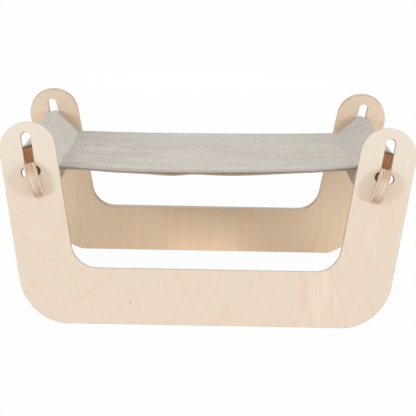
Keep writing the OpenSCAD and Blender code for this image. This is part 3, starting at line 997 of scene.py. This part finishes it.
class HAMMOCK_OT_frames(bpy.types.Operator):
    """Makes the two plywood frames"""
    bl_idname = "hammock.frames"
    bl_label = "Frames"

    def execute(self, context):
        plywood = context.scene.hammock.plywood
        for end, sign in ENDS.items():
            node = end + "_frame"
            piece = eased_copy(node, "frame_" + end, plywood.edge_ease)
            up = Vector((0, -sign * math.sin(plywood.splay), math.cos(plywood.splay)))
            face = getattr(plywood, end + "_face")
            paint(piece, birch_plywood("birch_plywood_" + end, plywood, node, face, Vector((1, 0, 0)), up,
                                       cross_slot=CROSS_SLOT, **FRAME_LOOKS[end]))
            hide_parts(node)
            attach(piece, "root")
        return {"FINISHED"}


class HAMMOCK_OT_crossbars(bpy.types.Operator):
    """Makes the two hooked crossbars"""
    bl_idname = "hammock.crossbars"
    bl_label = "Crossbars"

    def execute(self, context):
        plywood = context.scene.hammock.plywood
        mid_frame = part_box("rear_frame")[1].y - plywood.thickness / 2 / math.cos(plywood.splay)
        for name, side in SIDES.items():
            node = name + "_crossbar"
            piece = eased_copy(node, "crossbar_" + name, plywood.bar_ease)
            up = Vector((side * math.sin(plywood.tilt), 0, math.cos(plywood.tilt)))
            paint(piece, birch_plywood("birch_plywood_" + name + "_bar", plywood, node, plywood.bar_face, up,
                                       Vector((0, 1, 0)), BAR_SEED + side, BAR_BOLD, shaded_in_slot=mid_frame))
            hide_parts(node)
            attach(piece, name + "_bar")
        return {"FINISHED"}


class HAMMOCK_OT_sling(bpy.types.Operator):
    """Makes the canvas sling with its hems and stitches"""
    bl_idname = "hammock.sling"
    bl_label = "Sling"

    def execute(self, context):
        canvas = context.scene.hammock.canvas
        plywood = context.scene.hammock.plywood
        sling = Sling(canvas)
        rows, stand = hem_rows(sling, canvas)
        cloth = melange_canvas("melange_canvas", canvas, canvas.light_yarn, canvas.dark_yarn, canvas.shaded_edge,
                               canvas.shaded_edge, sling.half_width, PAINTED_SHADES)
        # Under layer: the same canvas in painted shade
        shaded_under_cloth = melange_canvas("melange_canvas_under", canvas, canvas.under_shaded_light, canvas.under_shaded_dark,
                                     canvas.under_shaded_edge, canvas.under_shaded_corner, sling.half_width)
        thread = sewing_thread("sewing_thread", canvas)
        shape = stitch_shape(canvas.thread, canvas.stitch)
        for name, side in SIDES.items():
            top = wrapped(upper_paths(sling, canvas, plywood, side, rows), rows, stand, canvas.thickness, 1,
                          UPPER_SEAM, sling.half_length)
            low = wrapped(under_paths(sling, side, rows), rows, stand * UNDER_HEM, canvas.thickness, -1,
                          UNDER_SEAM, sling.half_length)
            upper = lay("sling_" + name, side, top)
            sling.mark_folds(upper)
            under = lay("under_" + name, side, low)
            lines = (stitch_lines(top, rows, 1.0, sling, canvas)
                     + stitch_lines(low, rows, UNDER_HEM, sling, canvas))
            stitches = sewn("stitches_" + name, side, lines, shape, canvas.stitch)
            paint(upper, cloth)
            paint(under, shaded_under_cloth)
            paint(stitches, thread)
            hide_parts(name + "_pocket", "bed_upper")
            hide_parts("bed_under")
            for piece in (upper, under, stitches):
                follow_bar(piece)
        return {"FINISHED"}


class HAMMOCK_OT_stage(bpy.types.Operator):
    """Makes the floor, the lamps and the camera"""
    bl_idname = "hammock.stage"
    bl_label = "Stage"

    def execute(self, context):
        stage = context.scene.hammock.stage
        self.camera(context.scene, stage)
        self.floor(stage)
        self.world(context.scene, stage)
        for name, (place, size) in LAMPS.items():
            self.lamp(context.scene, name, place, size, getattr(stage, name))
        context.scene.view_settings.view_transform = "Standard"
        return {"FINISHED"}

    def camera(self, scene, stage):
        """Camera at the place, turn and lens of the settings."""
        forward = Vector((math.sin(stage.pan) * math.cos(stage.dip),
                          math.cos(stage.pan) * math.cos(stage.dip), -math.sin(stage.dip)))
        right = Vector((math.cos(stage.pan), -math.sin(stage.pan), 0))
        down = forward.cross(right)
        x = right * math.cos(stage.roll) + down * math.sin(stage.roll)
        y = right * math.sin(stage.roll) - down * math.cos(stage.roll)
        data = bpy.data.cameras.new("camera")
        data.lens = stage.lens
        data.sensor_width = SENSOR_MM
        camera = bpy.data.objects.new("camera", data)
        camera.matrix_world = Matrix.Translation(stage.eye) @ Matrix((x, y, -forward)).transposed().to_4x4()
        scene.collection.objects.link(camera)
        scene.camera = camera

    def floor(self, stage):
        """Matt floor that is seen nearly white."""
        bpy.ops.object.select_all(action="DESELECT")
        bpy.ops.mesh.primitive_plane_add(size=FLOOR_SIZE, location=(0, 0, 0))
        floor = bpy.context.active_object
        floor.name = "floor"
        material, tree = new_material("studio_floor")
        share = add(tree, "Math", {0: seen_by_eye(tree), 1: FLOOR_WHITE}, "MULTIPLY")
        matt = add(tree, "BsdfDiffuse", {"Color": rgba(stage.floor)})
        white = add(tree, "Emission", {"Color": (1, 1, 1, 1), "Strength": 1.0})
        shader = add(tree, "MixShader", {0: share, 1: matt, 2: white})
        add(tree, "OutputMaterial", {0: shader})
        paint(floor, material)

    def world(self, scene, stage):
        """Soft light from all round, more of it from the front, that is seen plain white."""
        world = bpy.data.worlds.new("studio")
        scene.world = world
        world.use_nodes = True
        tree = world.node_tree
        tree.nodes.clear()
        way = add(tree, "TexCoord")
        split = add(tree, "SeparateXYZ", {0: way.outputs["Generated"]})
        around = add(tree, "MapRange", {0: split.outputs["Y"], 1: -1.0, 2: 1.0,
                                        3: stage.fill * (1 + stage.front_share),
                                        4: stage.fill * (1 - stage.front_share)})
        strength = add(tree, "Mix", {0: seen_by_eye(tree), 2: around, 3: 1.0})
        light = add(tree, "Background", {"Color": (1, 1, 1, 1), "Strength": strength})
        add(tree, "OutputWorld", {0: light})

    def lamp(self, scene, name, place, size, watts):
        """Square lamp that is turned to the hammock."""
        data = bpy.data.lights.new(name, "AREA")
        data.size = size
        data.energy = watts
        lamp = bpy.data.objects.new(name, data)
        way = Vector(LAMP_AIM) - Vector(place)
        lamp.matrix_world = Matrix.Translation(place) @ way.to_track_quat("-Z", "Y").to_matrix().to_4x4()
        scene.collection.objects.link(lamp)


class HAMMOCK_PT_panel(bpy.types.Panel):
    """Shows the settings of the hammock and a button for each group of pieces"""
    bl_idname = "HAMMOCK_PT_panel"
    bl_label = "Cat hammock"
    bl_space_type = "VIEW_3D"
    bl_region_type = "UI"
    bl_category = "Hammock"

    def draw(self, context):
        hammock = context.scene.hammock
        for group in (hammock.plywood, hammock.canvas, hammock.stage):
            box = self.layout.box()
            for key in group.bl_rna.properties.keys():
                if key not in ("rna_type", "name"):
                    box.prop(group, key)
        for maker in MAKERS:
            self.layout.operator(maker.bl_idname)


MAKERS = (HAMMOCK_OT_frames, HAMMOCK_OT_crossbars, HAMMOCK_OT_sling, HAMMOCK_OT_stage)
CLASSES = (PlywoodSettings, CanvasSettings, StageSettings, HammockSettings, *MAKERS, HAMMOCK_PT_panel)


def register():
    for kind in CLASSES:
        bpy.utils.register_class(kind)
    bpy.types.Scene.hammock = PointerProperty(type=HammockSettings)


def unregister():
    del bpy.types.Scene.hammock
    for kind in reversed(CLASSES):
        bpy.utils.unregister_class(kind)


def main():
    register()
    bpy.ops.hammock.frames()
    bpy.ops.hammock.crossbars()
    bpy.ops.hammock.sling()
    bpy.ops.hammock.stage()


if __name__ == "__main__":
    main()
